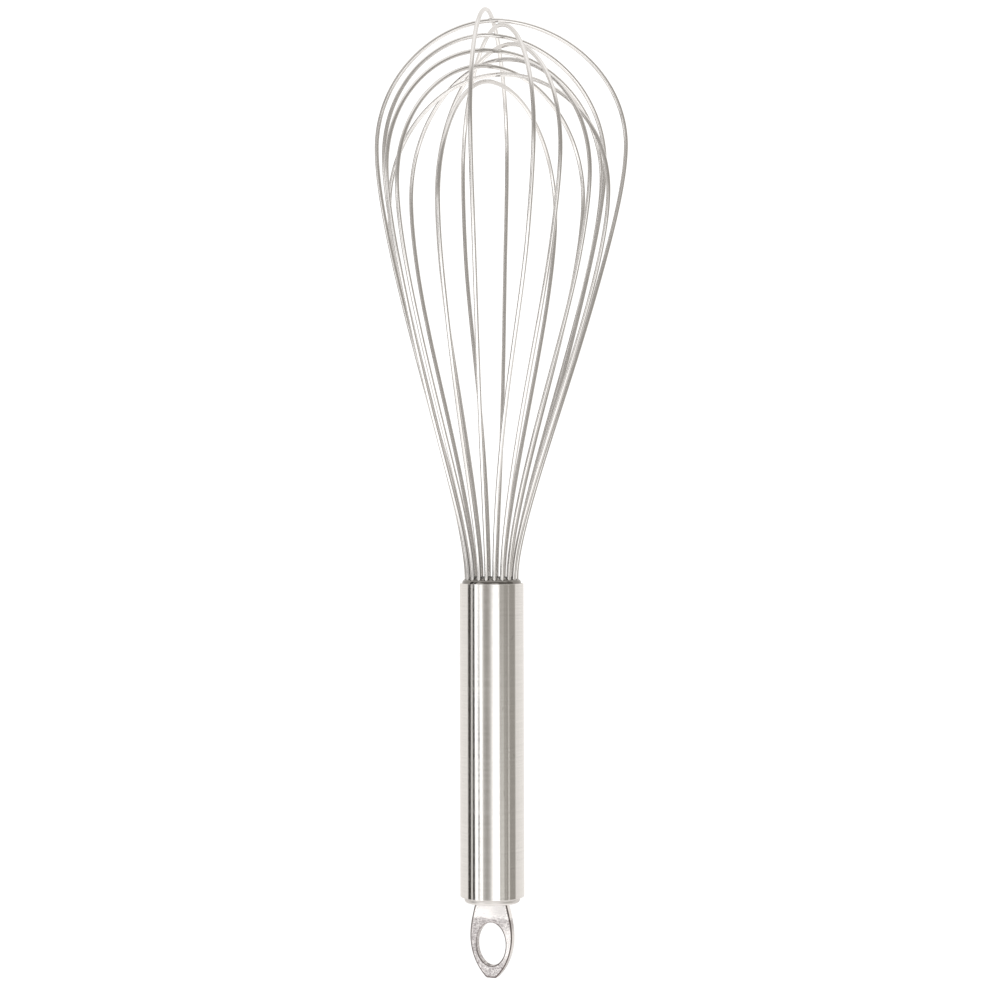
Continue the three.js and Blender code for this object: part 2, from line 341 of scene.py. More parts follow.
def closed_surface(name, grid, closed_rows=False, painted_shade=None):
    """Mesh object of a grid of points (rows, columns, 3) whose columns run round.

    A grid with open rows is closed by a fan at each end, to the middle of its first and last row. The UV map
    holds the share of the way round, and the distance along the surface in centimetres. The last argument is
    a value for each point of the grid, kept as an attribute of the same name: how strongly painted shade
    darkens that point.
    """
    rows, columns, _ = grid.shape
    corners, across, along = grid_faces(rows, columns, closed_rows)
    points = grid.reshape(-1, 3)
    steps = np.linalg.norm(np.roll(grid, -1, axis=0) - grid, axis=2).mean(axis=1)
    distance = np.concatenate([[0], np.cumsum(steps)]) / (10 * MM)
    faces, face_u, face_v = [corners], [across], [distance[along]]
    if not closed_rows:
        points = np.concatenate([points, grid[[0, -1]].mean(axis=1)])
        column = np.arange(columns)
        onward = (column + 1) % columns
        last = (rows - 1) * columns
        for pole, first, flip in ((rows * columns, 0, False), (rows * columns + 1, last, True)):
            fan = np.stack([first + onward, first + column, np.full(columns, pole)], axis=1)
            fan_u = np.stack([column + 1, column, column + 0.5], axis=1) / columns
            faces.append(fan[:, ::-1] if flip else fan)
            face_u.append(fan_u[:, ::-1] if flip else fan_u)
            face_v.append(np.full((columns, 3), distance[rows - 1 if flip else 0]))
    inside_out = sum(
        np.einsum("ij,ij->i", points[f[:, 0]], np.cross(points[f[:, k]], points[f[:, k + 1]])).sum()
        for f in faces
        for k in range(1, f.shape[1] - 1)
    ) < 0
    turn = slice(None, None, -1 if inside_out else 1)
    mesh = bpy.data.meshes.new(name)
    mesh.from_pydata(points.tolist(), [], [face for block in faces for face in block[:, turn].tolist()])
    uv = np.stack([np.concatenate([block[:, turn].ravel() for block in face_u]),
                   np.concatenate([block[:, turn].ravel() for block in face_v])], axis=1)
    mesh.uv_layers.new(name="surface").data.foreach_set("uv", uv.astype(np.float32).ravel())
    mesh.polygons.foreach_set("use_smooth", np.ones(len(mesh.polygons), bool))
    # Painted shade: each point's value says how strongly its finish paints it dark, standing in for shade.
    if painted_shade is not None:
        poles = [] if closed_rows else painted_shade[[0, -1]].mean(axis=1)
        values = np.concatenate([painted_shade.ravel(), poles])
        mesh.attributes.new("painted_shade", "FLOAT", "POINT").data.foreach_set("value", values.astype(np.float32))
    mesh.update()
    piece = bpy.data.objects.new(name, mesh)
    bpy.context.scene.collection.objects.link(piece)
    return piece


def carried(path, side, radius, sides):
    """Grid of a circle carried along a path.

    The point at angle a is the path's own, plus the radius times cos a across the path and the radius times
    sin a up from it. The side vector points roughly across the path, and sets where the angle starts.
    """
    tangent = np.gradient(path, axis=0)
    tangent /= np.linalg.norm(tangent, axis=1)[:, None]
    across = side - (tangent @ side)[:, None] * tangent
    across /= np.linalg.norm(across, axis=1)[:, None]
    up = np.cross(tangent, across)
    angle = np.linspace(0, 2 * np.pi, sides, endpoint=False)[None, :, None]
    circle = np.cos(angle) * across[:, None] + np.sin(angle) * up[:, None]
    return path[:, None] + radius[:, None, None] * circle


def wear_in(piece, slot, material, *nodes):
    """Gives a piece its finish and lets it stand for its CAD nodes on the whisk's body."""
    piece.data.materials.append(material)
    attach(piece, BODY)
    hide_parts(*nodes)


# ---- Node groups and finishes ----


def node(tree, kind, inputs=None, **settings):
    """Adds a node. Each input is linked if it is given a socket, and set if it is given a value."""
    made = tree.nodes.new(kind)
    for key, value in settings.items():
        setattr(made, key, value)
    for key, value in (inputs or {}).items():
        if isinstance(value, bpy.types.NodeSocket):
            tree.links.new(value, made.inputs[key])
        else:
            made.inputs[key].default_value = value
    return made


def maths(tree, operation, *values):
    """Result of a Math node."""
    return node(tree, "ShaderNodeMath", dict(enumerate(values)), operation=operation).outputs[0]


def between(tree, value, low, high, to_low=0.0, to_high=1.0):
    """A value's smooth share from low to high, as a number from to_low to to_high."""
    inputs = {"Value": value, "From Min": low, "From Max": high, "To Min": to_low, "To Max": to_high}
    return node(tree, "ShaderNodeMapRange", inputs, interpolation_type="SMOOTHSTEP").outputs[0]


def mixed(tree, mask, first, second):
    """Colour that goes from the first to the second as the mask goes from 0 to 1."""
    made = node(tree, "ShaderNodeMix", data_type="RGBA")
    for key, value in ((0, mask), (6, first), (7, second)):
        if isinstance(value, bpy.types.NodeSocket):
            tree.links.new(value, made.inputs[key])
        else:
            made.inputs[key].default_value = (*value, 1) if key else value
    return made.outputs[2]


def group(name, inputs, outputs):
    """Empty node group with the named sockets, and its input and output nodes."""
    tree = bpy.data.node_groups.new(name, "ShaderNodeTree")
    for socket, kind, value in inputs:
        made = tree.interface.new_socket(name=socket, in_out="INPUT", socket_type=kind)
        if value is not None:
            made.default_value = value
    for socket in outputs:
        tree.interface.new_socket(name=socket, in_out="OUTPUT", socket_type="NodeSocketFloat")
    return tree, tree.nodes.new("NodeGroupInput").outputs, tree.nodes.new("NodeGroupOutput").inputs


def noise(tree, vector, scale, detail, roughness=0.55, distortion=0.0):
    """Value of a Noise Texture."""
    inputs = {"Vector": vector, "Scale": scale, "Detail": detail}
    inputs |= {"Roughness": roughness, "Distortion": distortion}
    return node(tree, "ShaderNodeTexNoise", inputs).outputs[0]


def stroke_grain():
    """Fine lines of a brushed or drawn finish: noise that is stretched by the Stretch vector."""
    if "stroke_grain" in bpy.data.node_groups:
        return bpy.data.node_groups["stroke_grain"]
    tree, given, result = group(
        "stroke_grain",
        [("Vector", "NodeSocketVector", None), ("Stretch", "NodeSocketVector", (1, 1, 1)),
         ("Depth", "NodeSocketFloat", 0.5)],
        ("Lines", "Bands"),
    )
    inputs = {0: given["Vector"], 1: given["Stretch"]}
    stretched = node(tree, "ShaderNodeVectorMath", inputs, operation="MULTIPLY").outputs[0]
    fine = between(tree, noise(tree, stretched, 1.0, 4.0, 0.7), 0.32, 0.68)
    tree.links.new(maths(tree, "MULTIPLY", fine, given["Depth"]), result["Lines"])
    tree.links.new(between(tree, noise(tree, stretched, 0.12, 2.0), 0.35, 0.65), result["Bands"])
    return tree


def handling_wear():
    """Traces of use: hairline scratches where a noise crosses its middle value, and soft smudges."""
    if "handling_wear" in bpy.data.node_groups:
        return bpy.data.node_groups["handling_wear"]
    tree, given, result = group(
        "handling_wear",
        [("Vector", "NodeSocketVector", None), ("Scale", "NodeSocketFloat", 100.0),
         ("Width", "NodeSocketFloat", 0.004)],
        ("Scratches", "Smudges"),
    )
    field = noise(tree, given["Vector"], given["Scale"], 1.0, 0.4, 1.5)
    from_middle = maths(tree, "ABSOLUTE", maths(tree, "SUBTRACT", field, 0.5))
    hairline = between(tree, from_middle, given["Width"], 0.0)
    quick = noise(tree, given["Vector"], maths(tree, "MULTIPLY", given["Scale"], 2.6), 2.0)
    broken = between(tree, quick, 0.5, 0.62)
    tree.links.new(maths(tree, "MULTIPLY", hairline, broken), result["Scratches"])
    slow = noise(tree, given["Vector"], maths(tree, "MULTIPLY", given["Scale"], 0.35), 3.0)
    tree.links.new(between(tree, slow, 0.38, 0.66), result["Smudges"])
    return tree


def cast_pits():
    """Skin of a casting or a pour: an uneven height with small round pits, and a mask of the pits."""
    if "cast_pits" in bpy.data.node_groups:
        return bpy.data.node_groups["cast_pits"]
    tree, given, result = group(
        "cast_pits",
        [("Vector", "NodeSocketVector", None), ("Scale", "NodeSocketFloat", 1000.0),
         ("Pit", "NodeSocketFloat", 0.25)],
        ("Height", "Pits"),
    )
    cells = node(tree, "ShaderNodeTexVoronoi", {"Vector": given["Vector"], "Scale": given["Scale"]})
    near = between(tree, cells.outputs["Distance"], given["Pit"], 0.0)
    chosen = node(tree, "ShaderNodeSeparateColor", {0: cells.outputs["Color"]}).outputs[0]
    pits = maths(tree, "MULTIPLY", near, between(tree, chosen, 0.55, 0.75))
    skin = noise(tree, given["Vector"], maths(tree, "MULTIPLY", given["Scale"], 0.7), 4.0, 0.6)
    tree.links.new(maths(tree, "SUBTRACT", skin, maths(tree, "MULTIPLY", pits, 0.6)), result["Height"])
    tree.links.new(pits, result["Pits"])
    return tree


def placed(tree, shared, **values):
    """Outputs of a shared node group, placed in a finish with its own values."""
    return node(tree, "ShaderNodeGroup", {key.capitalize(): value for key, value in values.items()},
                node_tree=shared).outputs


def finish(name, metallic=1.0, **plain):
    """New material with a Principled surface whose plain values are set on its own sockets."""
    material = bpy.data.materials.new(name)
    material.use_nodes = True
    tree = material.node_tree
    tree.nodes.clear()
    surface = node(tree, "ShaderNodeBsdfPrincipled", {"Metallic": metallic, **plain})
    node(tree, "ShaderNodeOutputMaterial", {"Surface": surface.outputs[0]})
    return material, tree, surface


def dress(tree, surface, base, roughness, height, depth):
    """Joins colour, roughness and a bump of the given depth to a surface."""
    tree.links.new(base, surface.inputs["Base Color"])
    tree.links.new(roughness, surface.inputs["Roughness"])
    bump = node(tree, "ShaderNodeBump", {"Height": height, "Distance": depth, "Strength": 1.0})
    tree.links.new(bump.outputs[0], surface.inputs["Normal"])


def brushed_steel(settings):
    """Satin steel of the handle: grooves run round it, so it mirrors sharply across and softly along."""
    material, tree, surface = finish("brushed_handle", Anisotropic=0.75, **{"Anisotropic Rotation": 0.25})
    place = node(tree, "ShaderNodeTexCoord").outputs["Object"]
    grain = placed(tree, stroke_grain(), vector=place, stretch=(55, 55, 5200), depth=1.0)
    wear = placed(tree, handling_wear(), vector=place, scale=120.0, width=0.006)
    worn = maths(tree, "MAXIMUM", maths(tree, "MULTIPLY", grain["Lines"], 0.45), wear["Scratches"])
    # Painted shade: the cap's marked bottom edge takes the dark line colour, for the shade where the eye's
    # neck meets it.
    cap_shadow_mask = node(tree, "ShaderNodeAttribute", attribute_name="painted_shade").outputs["Fac"]
    base = mixed(tree, cap_shadow_mask, mixed(tree, worn, settings.steel, settings.groove), settings.cap_shadow_line)
    soft = maths(tree, "ADD", maths(tree, "MULTIPLY", grain["Bands"], 0.04), 0.13)
    rough = maths(tree, "ADD", soft, maths(tree, "MULTIPLY", wear["Smudges"], 0.04))
    dress(tree, surface, base, rough, grain["Lines"], 0.0008 * MM)
    along_u = node(tree, "ShaderNodeTangent", direction_type="UV_MAP", uv_map="surface").outputs[0]
    tree.links.new(along_u, surface.inputs["Tangent"])
    return material


def bright_wire(settings):
    """Drawn spring wire: faint lines along it from the die, and painted shade down one side of the front
    wires' feet, where the crowded wires shade each other near the plate.
    """
    material, tree, surface = finish("bright_wire", Anisotropic=0.2)
    uv = node(tree, "ShaderNodeUVMap", uv_map="surface").outputs[0]
    split = node(tree, "ShaderNodeSeparateXYZ", {0: uv}).outputs
    angle = maths(tree, "MULTIPLY", split[0], 2 * math.pi)
    inputs = {"X": maths(tree, "COSINE", angle), "Y": maths(tree, "SINE", angle), "Z": split[1]}
    round_wire = node(tree, "ShaderNodeCombineXYZ", inputs).outputs[0]
    grain = placed(tree, stroke_grain(), vector=round_wire, stretch=(6, 6, 0.9), depth=1.0)
    place = node(tree, "ShaderNodeTexCoord").outputs["Object"]
    wear = placed(tree, handling_wear(), vector=place, scale=260.0, width=0.01)
    worn = maths(tree, "MAXIMUM", maths(tree, "MULTIPLY", grain["Lines"], 0.5), wear["Scratches"])
    _, back, level = node(tree, "ShaderNodeSeparateXYZ", {0: place}).outputs
    # Painted shade: one side of each front wire near the plate is darkened, where the wires shade each other.
    near_foot = between(tree, level, PLATE_HIGH.z + settings.foot_shade_rise, PLATE_HIGH.z)
    one_side = between(tree, inputs["X"], 0.5, 0.9, 0.0, 0.5)
    in_front = between(tree, back, 3 * MM, -2 * MM)
    drawn = mixed(tree, worn, settings.steel, settings.die_line)
    foot_shade_mask = maths(tree, "MULTIPLY", maths(tree, "MULTIPLY", near_foot, one_side), in_front)
    base = mixed(tree, foot_shade_mask, drawn, settings.wire_foot_shade)
    soft = maths(tree, "ADD", maths(tree, "MULTIPLY", grain["Bands"], 0.05), 0.08)
    rough = maths(tree, "ADD", soft, maths(tree, "MULTIPLY", wear["Smudges"], 0.05))
    dress(tree, surface, base, rough, grain["Lines"], 0.002 * MM)
    along_u = node(tree, "ShaderNodeTangent", direction_type="UV_MAP", uv_map="surface").outputs[0]
    tree.links.new(along_u, surface.inputs["Tangent"])
    return material


def polished_plate(settings):
    """Mouth plate: polished outside the ring of wires, finely scratched; inside the ring and in its holes it
    is rougher and painted near-black for the shade there.
    """
    material, tree, surface = finish("polished_plate")
    place = node(tree, "ShaderNodeTexCoord").outputs["Object"]
    wear = placed(tree, handling_wear(), vector=place, scale=700.0, width=0.01)
    pits = placed(tree, cast_pits(), vector=place, scale=2600.0, pit=0.2)
    shade_and_dull = node(tree, "ShaderNodeAttribute", attribute_name="painted_shade").outputs["Fac"]
    worn = maths(tree, "MAXIMUM", wear["Scratches"], pits["Pits"])
    polished = mixed(tree, worn, settings.plate, [0.55 * part for part in settings.plate])
    base = mixed(tree, shade_and_dull, polished, settings.plate_hollow_shade)
    smudged = maths(tree, "ADD", maths(tree, "MULTIPLY", wear["Smudges"], 0.03), 0.04)
    rough = maths(tree, "MULTIPLY_ADD", shade_and_dull, 0.4, smudged)
    dress(tree, surface, base, rough, pits["Height"], 0.0015 * MM)
    return material


def cast_eye(settings):
    """Tumbled cast steel: bright at the neck, with a fine pitted grain round the hole and at the tip.

    The grain starts at an uneven line across the neck. It is heaviest above the hole, on one side of it and
    at the tip, and the edges, marked in the mesh, are painted dark for the dark reflection of the rounded
    rims.
    """
    material, tree, surface = finish("cast_eye")
    place = node(tree, "ShaderNodeTexCoord").outputs["Object"]
    skin = placed(tree, cast_pits(), vector=place, scale=3000.0, pit=0.3)
    wear = placed(tree, handling_wear(), vector=place, scale=420.0, width=0.012)
    streaks = placed(tree, stroke_grain(), vector=place, stretch=(700, 700, 4200), depth=1.0)
    side, _, level = node(tree, "ShaderNodeSeparateXYZ", {0: place}).outputs
    wander = maths(tree, "MULTIPLY", noise(tree, place, 700.0, 4.0), 1.6 * MM)
    below_neck = between(tree, maths(tree, "ADD", level, wander), 9.4 * MM, 8.6 * MM)
    above_hole = between(tree, level, 2.5 * MM, 7 * MM)
    at_tip = between(tree, level, -2.5 * MM, -7 * MM)
    one_side = between(tree, side, 3.5 * MM, -1.5 * MM)
    heavy = maths(tree, "MAXIMUM", maths(tree, "MAXIMUM", above_hole, at_tip), one_side)
    patches = between(tree, noise(tree, place, 1500.0, 5.0, 0.7), 0.3, 0.62, 0.3, 1.0)
    uneven = maths(tree, "MULTIPLY", patches, maths(tree, "MULTIPLY_ADD", streaks["Lines"], 0.45, 0.6))
    strength = maths(tree, "MULTIPLY_ADD", heavy, 0.75, 0.2)
    grain = maths(tree, "MULTIPLY", maths(tree, "MULTIPLY", below_neck, uneven), strength)
    # Painted shade: the marked edges take the dark edge colour, for the dark reflection of the rounded rims.
    edge = node(tree, "ShaderNodeAttribute", attribute_name="painted_shade").outputs["Fac"]
    specks = maths(tree, "MAXIMUM", skin["Pits"], wear["Scratches"])
    dark = maths(tree, "MAXIMUM", grain, maths(tree, "MULTIPLY", specks, 0.7))
    base = mixed(tree, edge, mixed(tree, dark, settings.steel, settings.grain), settings.skin)
    rough = maths(tree, "ADD", maths(tree, "MULTIPLY", grain, 0.14), 0.14)
    dress(tree, surface, base, rough, skin["Height"], 0.012 * MM)
    return material


def potting_resin(settings):
    """Dark poured resin with a slightly uneven skin and burst bubbles."""
    material, tree, surface = finish("potting_resin", metallic=0.0)
    place = node(tree, "ShaderNodeTexCoord").outputs["Object"]
    skin = placed(tree, cast_pits(), vector=place, scale=900.0, pit=0.35)
    wear = placed(tree, handling_wear(), vector=place, scale=160.0, width=0.01)
    base = mixed(tree, skin["Pits"], settings.resin, [2.2 * part for part in settings.resin])
    rough = maths(tree, "ADD", maths(tree, "MULTIPLY", wear["Smudges"], 0.2), 0.42)
    dress(tree, surface, base, rough, skin["Height"], 0.05 * MM)
    return material


def ground_pin(settings):
    """Ground steel pin with fine lines round it."""
    material, tree, surface = finish("ground_pin")
    place = node(tree, "ShaderNodeTexCoord").outputs["Object"]
    grain = placed(tree, stroke_grain(), vector=place, stretch=(2500, 2500, 300), depth=0.8)
    wear = placed(tree, handling_wear(), vector=place, scale=500.0, width=0.01)
    base = mixed(tree, grain["Lines"], settings.pin, [0.7 * part for part in settings.pin])
    rough = maths(tree, "ADD", maths(tree, "MULTIPLY", wear["Smudges"], 0.1), 0.28)
    dress(tree, surface, base, rough, grain["Lines"], 0.003 * MM)
    return material


def pale_floor(settings):
    """Matt pale paper with the faintest mottling."""
    material, tree, surface = finish("pale_floor", metallic=0.0)
    place = node(tree, "ShaderNodeTexCoord").outputs["Object"]
    mottle = between(tree, noise(tree, place, 14.0, 4.0), 0.3, 0.7)
    base = mixed(tree, mottle, settings.floor, [0.985 * part for part in settings.floor])
    rough = maths(tree, "ADD", maths(tree, "MULTIPLY", mottle, 0.1), 0.8)
    dress(tree, surface, base, rough, noise(tree, place, 900.0, 3.0), 0.02 * MM)
    return material


# ---- Pieces ----


class WHISK_OT_handle_tube(bpy.types.Operator):
    """Make the brushed tube of the handle: its wall's rounded outline turned about the axis"""

    bl_idname = "whisk.handle_tube"
    bl_label = "Handle Tube"

    def execute(self, context):
        handle = context.scene.whisk_handle
        bore = TUBE_RADIUS - handle.wall
        corners = [
            (bore, TUBE_BOTTOM, handle.bore_rim),
            (TUBE_RADIUS, TUBE_BOTTOM, handle.foot_rim),
            (TUBE_RADIUS, TUBE_TOP, handle.rim),
            (bore, TUBE_TOP, handle.bore_rim),
        ]
        grid = turned(rounded_profile(corners, closed=True), HANDLE_SIDES)
        tube = closed_surface("brushed_tube", grid, closed_rows=True)
        wear_in(tube, "brushed_handle", brushed_steel(handle), "handle_tube")
        return {"FINISHED"}


class WHISK_OT_end_cap(bpy.types.Operator):
    """Make the end cap, whose edge is rounded and whose spigot stands in the tube

    A painted shadow line is marked round its bottom edge, for the shade where the eye's neck meets the cap,
    palest in the middle and gone at the sides."""

    bl_idname = "whisk.end_cap"
    bl_label = "End Cap"

    def execute(self, context):
        handle = context.scene.whisk_handle
        flange_top = TUBE_BOTTOM - handle.seat_gap
        cap_radius = TUBE_RADIUS - handle.cap_set_back
        corners = [
            (POLE, CAP_LOW.z, 0),
            (cap_radius, CAP_LOW.z, handle.cap_edge),
            (cap_radius, flange_top - handle.cap_bevel, 0.2 * MM),
            (TUBE_RADIUS - handle.foot_rim, flange_top, 0.03 * MM),
            (PLUG_RADIUS, flange_top, 0.04 * MM),
            (PLUG_RADIUS, CAP_HIGH.z, 0.3 * MM),
            (POLE, CAP_HIGH.z, 0),
        ]
        grid = turned(rounded_profile(corners, closed=False), HANDLE_SIDES)
        aside = np.abs(grid[:, :, 0])
        # Painted shade: a dark line round the cap's bottom edge, palest in the middle and gone at the sides,
        # for the shade where the eye's neck meets the cap.
        low = 1 - smooth(grid[:, :, 2], CAP_LOW.z + 0.35 * MM, CAP_LOW.z + 0.65 * MM)
        paler_middle = 0.35 + 0.65 * smooth(aside, 2.2 * MM, 4 * MM)
        clear_sides = 1 - smooth(aside, 5.3 * MM, 6.8 * MM)
        cap = closed_surface("round_edged_cap", grid, painted_shade=low * paler_middle * clear_sides)
        wear_in(cap, "brushed_handle", bpy.data.materials["brushed_handle"], "end_cap")
        return {"FINISHED"}


def plate_turn(index):
    """Angle in degrees of a loop's first hole.

    Loops that follow each other cross squarely, and every second one moves on by a hole.
    """
    hole_step = 180 / len(SETTLED)
    return RING_TURN + hole_step * (index // 2 - 0.5) + 90 * (index % 2)


def ring_radius(wires):
    """Radius of the ring of holes in the mouth plate."""
    return PLUG_RADIUS - wires.plate_rim - wires.hole_gap - wires.diameter / 2


def dome(radius):
    """Height of the mouth plate's dome above the tube's rim.

    It is half a superellipse over the plug's radius: the share of the radius and the share of the rise, each
    raised to the dome's power, add up to one.
    """
    across = np.clip(radius / PLUG_RADIUS, 0, 1)
    return TUBE_TOP + PLATE_RISE * (1 - across**DOME_SHAPE) ** (1 / DOME_SHAPE)


class WHISK_OT_mouth_plate(bpy.types.Operator):
    """Make the domed mouth plate, sunk round the foot of each wire

    Its top is the dome less a fixed depth wherever a point is nearer than a hole's radius to a hole's middle.
    The law of cosines gives that distance."""

    bl_idname = "whisk.mouth_plate"
    bl_label = "Mouth Plate"

    def execute(self, context):
        wires = context.scene.whisk_wires
        ring = ring_radius(wires)
        hole = wires.diameter / 2 + wires.hole_gap
        columns_per_hole = 36
        columns = columns_per_hole * 2 * len(SETTLED)
        angle = np.linspace(0, 2 * np.pi, columns, endpoint=False)
        inner, outer = ring - 1.3 * hole, ring + 1.3 * hole
        rim_start = math.asin((outer / PLUG_RADIUS) ** (DOME_SHAPE / 2))
        rim = PLUG_RADIUS * np.sin(np.linspace(rim_start, math.pi / 2, 12)) ** (2 / DOME_SHAPE)
        middle, holes = np.linspace(POLE, inner, 12), np.linspace(inner, outer, 40)
        radius = np.concatenate([middle[:-1], holes[:-1], rim])
        hole_step = np.pi / len(SETTLED)
        past_hole = (angle - math.radians(plate_turn(0)) + hole_step / 2) % hole_step - hole_step / 2
        away = np.sqrt(radius[:, None] ** 2 + ring**2 - 2 * radius[:, None] * ring * np.cos(past_hole))
        hole_depth = 1.4 * MM
        sunk = hole_depth * (1 - smooth(away, hole - 0.08 * MM, hole + 0.06 * MM))
        height = dome(radius)[:, None] - sunk
        top = np.stack([radius[:, None] * np.sin(angle), -radius[:, None] * np.cos(angle), height], axis=2)
        below_dome = (PLUG_RADIUS, TUBE_TOP - 0.1 * MM, 0)
        lower_edge = (PLUG_RADIUS, PLATE_LOW.z, 0.15 * MM)
        side = rounded_profile([below_dome, lower_edge, (POLE, PLATE_LOW.z, 0)], closed=False)
        # Painted shade: the holes and the plate inside the ring of wires are marked to be painted near-black,
        # for the shade there.
        in_hole = 1 - smooth(away, hole - 0.02 * MM, hole + 0.08 * MM)
        inside_ring = 1 - smooth(radius, ring - 1.0 * MM, ring - 0.7 * MM)[:, None] + 0 * away
        painted_shade = np.concatenate([np.maximum(in_hole, inside_ring), np.ones((len(side), columns))])
        plate = closed_surface("domed_plate", np.concatenate([top, turned(side, columns)]), painted_shade=painted_shade)
        wear_in(plate, "polished_plate", polished_plate(wires), "mouth_plate")
        return {"FINISHED"}


def wire_path(wires, index, count=2400):
    """Middle line of one loop, up one arm and down the other.

    In the plane of radius and height an arm is a straight tail, a cubic flare up to the widest place and a
    cubic shoulder over to the crown. Its angle drifts from its hole's angle to the arm's own turn, and the
    whole loop leans by the square of the share that it has climbed.
    """
    turns, swells, lean, sag = SETTLED[index]
    ring = ring_radius(wires)
    foot = float(dome(ring))
    crown = foot + wires.height - wires.crown_step * index - sag * MM
    widest = crown - wires.crown_rise
    along = np.linspace(0, 1, count)
    arms = []
    for side, (turn, swell) in enumerate(zip(turns, swells)):
        out = wires.radius + swell * MM
        tail = np.stack([0 * along + ring, TAIL_END + (foot - TAIL_END) * along], axis=1)
        mouth_end, bulge_start = foot + wires.mouth_handle, widest - wires.bulge_handle
        flare = bezier([(ring, foot), (ring, mouth_end), (out, bulge_start), (out, widest)], along)
        side_end, crown_start = widest + wires.shoulder_up * wires.crown_rise, wires.shoulder_out * out
        shoulder = bezier([(out, widest), (out, side_end), (crown_start, crown), (0, crown)], along)
        radius, height = np.concatenate([tail, flare[1:], shoulder[1:]]).T
        drift = smooth(height, foot, foot + wires.turn_end * (widest - foot))
        angle = np.radians(plate_turn(index) + 180 * side + turn * drift)
        climb = np.clip(height - foot, 0, None) / (crown - foot)
        shift = lean * MM * climb**2
        arms.append(np.stack([radius * np.sin(angle) + shift, -radius * np.cos(angle), height], axis=1))
    return np.concatenate([arms[0], arms[1][::-1][1:]])


class WHISK_OT_wires(bpy.types.Operator):
    """Make the ten round wire loops of the balloon: a circle carried along each loop's middle line"""

    bl_idname = "whisk.wires"
    bl_label = "Balloon Wires"

    def execute(self, context):
        wires = context.scene.whisk_wires
        material = bright_wire(wires)
        for index in range(len(SETTLED)):
            path = spread_evenly(wire_path(wires, index), count=420)
            turn = math.radians(plate_turn(index))
            side = np.array([math.cos(turn), math.sin(turn), 0]) * np.sign(math.cos(turn))
            radius = np.full(len(path), wires.diameter / 2)
            radius[[0, -1]] *= 0.8  # the sheared ends are broken at the edge
            name = f"wire_{index + 1:02d}"
            loop = closed_surface(f"round_{name}", carried(path, side, radius, sides=20))
            wear_in(loop, "bright_wire", material, name)
            self.compare(loop, name)
        return {"FINISHED"}

    def compare(self, loop, name):
        """Stops the script if a fine wire has left the box of the CAD wire that it stands for."""
        low, high = (np.array(corner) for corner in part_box(name))
        points = np.array([loop.bound_box[0], loop.bound_box[6]])
        error = max(np.abs(points[0] - low).max(), np.abs(points[1] - high).max())
        if error > CLOSE_ENOUGH:
            raise RuntimeError(f"{name} is {error / MM:.2f} mm away from its CAD box")


def eye_outline(eye, count):
    """Outline of the eye in the plane of its face, and the hole's outline in the same directions.

    Each half is two cubics, from the blunt tip to the widest place and on up to the neck. A short running
    average rounds the corners. The hole's point is the one on its ellipse at the outline point's own angle,
    measured with the width and the height of the hole as the units.
    """
    neck, side, tip = eye.neck_width / 2, eye.hole_width / 2 + eye.side_wall, eye.tip_width / 2
    bottom, top = EYE_LOW.z, CAP_LOW.z - 0.1 * MM
    fall, rise = eye.widest - bottom, top - eye.widest
    t = np.linspace(0, 1, 200)
    tip_pull, side_pull = (0.62 * side, bottom + 0.19 * fall), (side, eye.widest - 0.44 * fall)
    lower = bezier([(tip, bottom), tip_pull, side_pull, (side, eye.widest)], t)
    side_pull, neck_pull = (side, eye.widest + 0.39 * rise), (0.65 * neck + 0.35 * side, top - 0.27 * rise)
    upper = bezier([(side, eye.widest), side_pull, neck_pull, (neck, top)], t)
    right = np.concatenate([lower, upper[1:]])
    outline = np.concatenate([right, right[::-1] * (-1, 1), right[:1]])
    outline = spread_evenly(outline, count + 1)[:-1]
    spread = np.arange(-3, 4)
    weights = np.exp(-((spread / 1.6) ** 2))
    rounded = sum(w * np.roll(outline, k, axis=0) for w, k in zip(weights / weights.sum(), spread))
    direction = np.arctan2(rounded[:, 1] / eye.hole_height, rounded[:, 0] / eye.hole_width)
    hole = np.stack([eye.hole_width / 2 * np.cos(direction), eye.hole_height / 2 * np.sin(direction)], axis=1)
    return rounded, hole


def outward(loop):
    """Unit normals of a closed loop that runs anticlockwise, pointing away from its inside."""
    ahead = np.roll(loop, -1, axis=0) - np.roll(loop, 1, axis=0)
    normal = np.stack([ahead[:, 1], -ahead[:, 0]], axis=1)
    return normal / np.linalg.norm(normal, axis=1)[:, None]


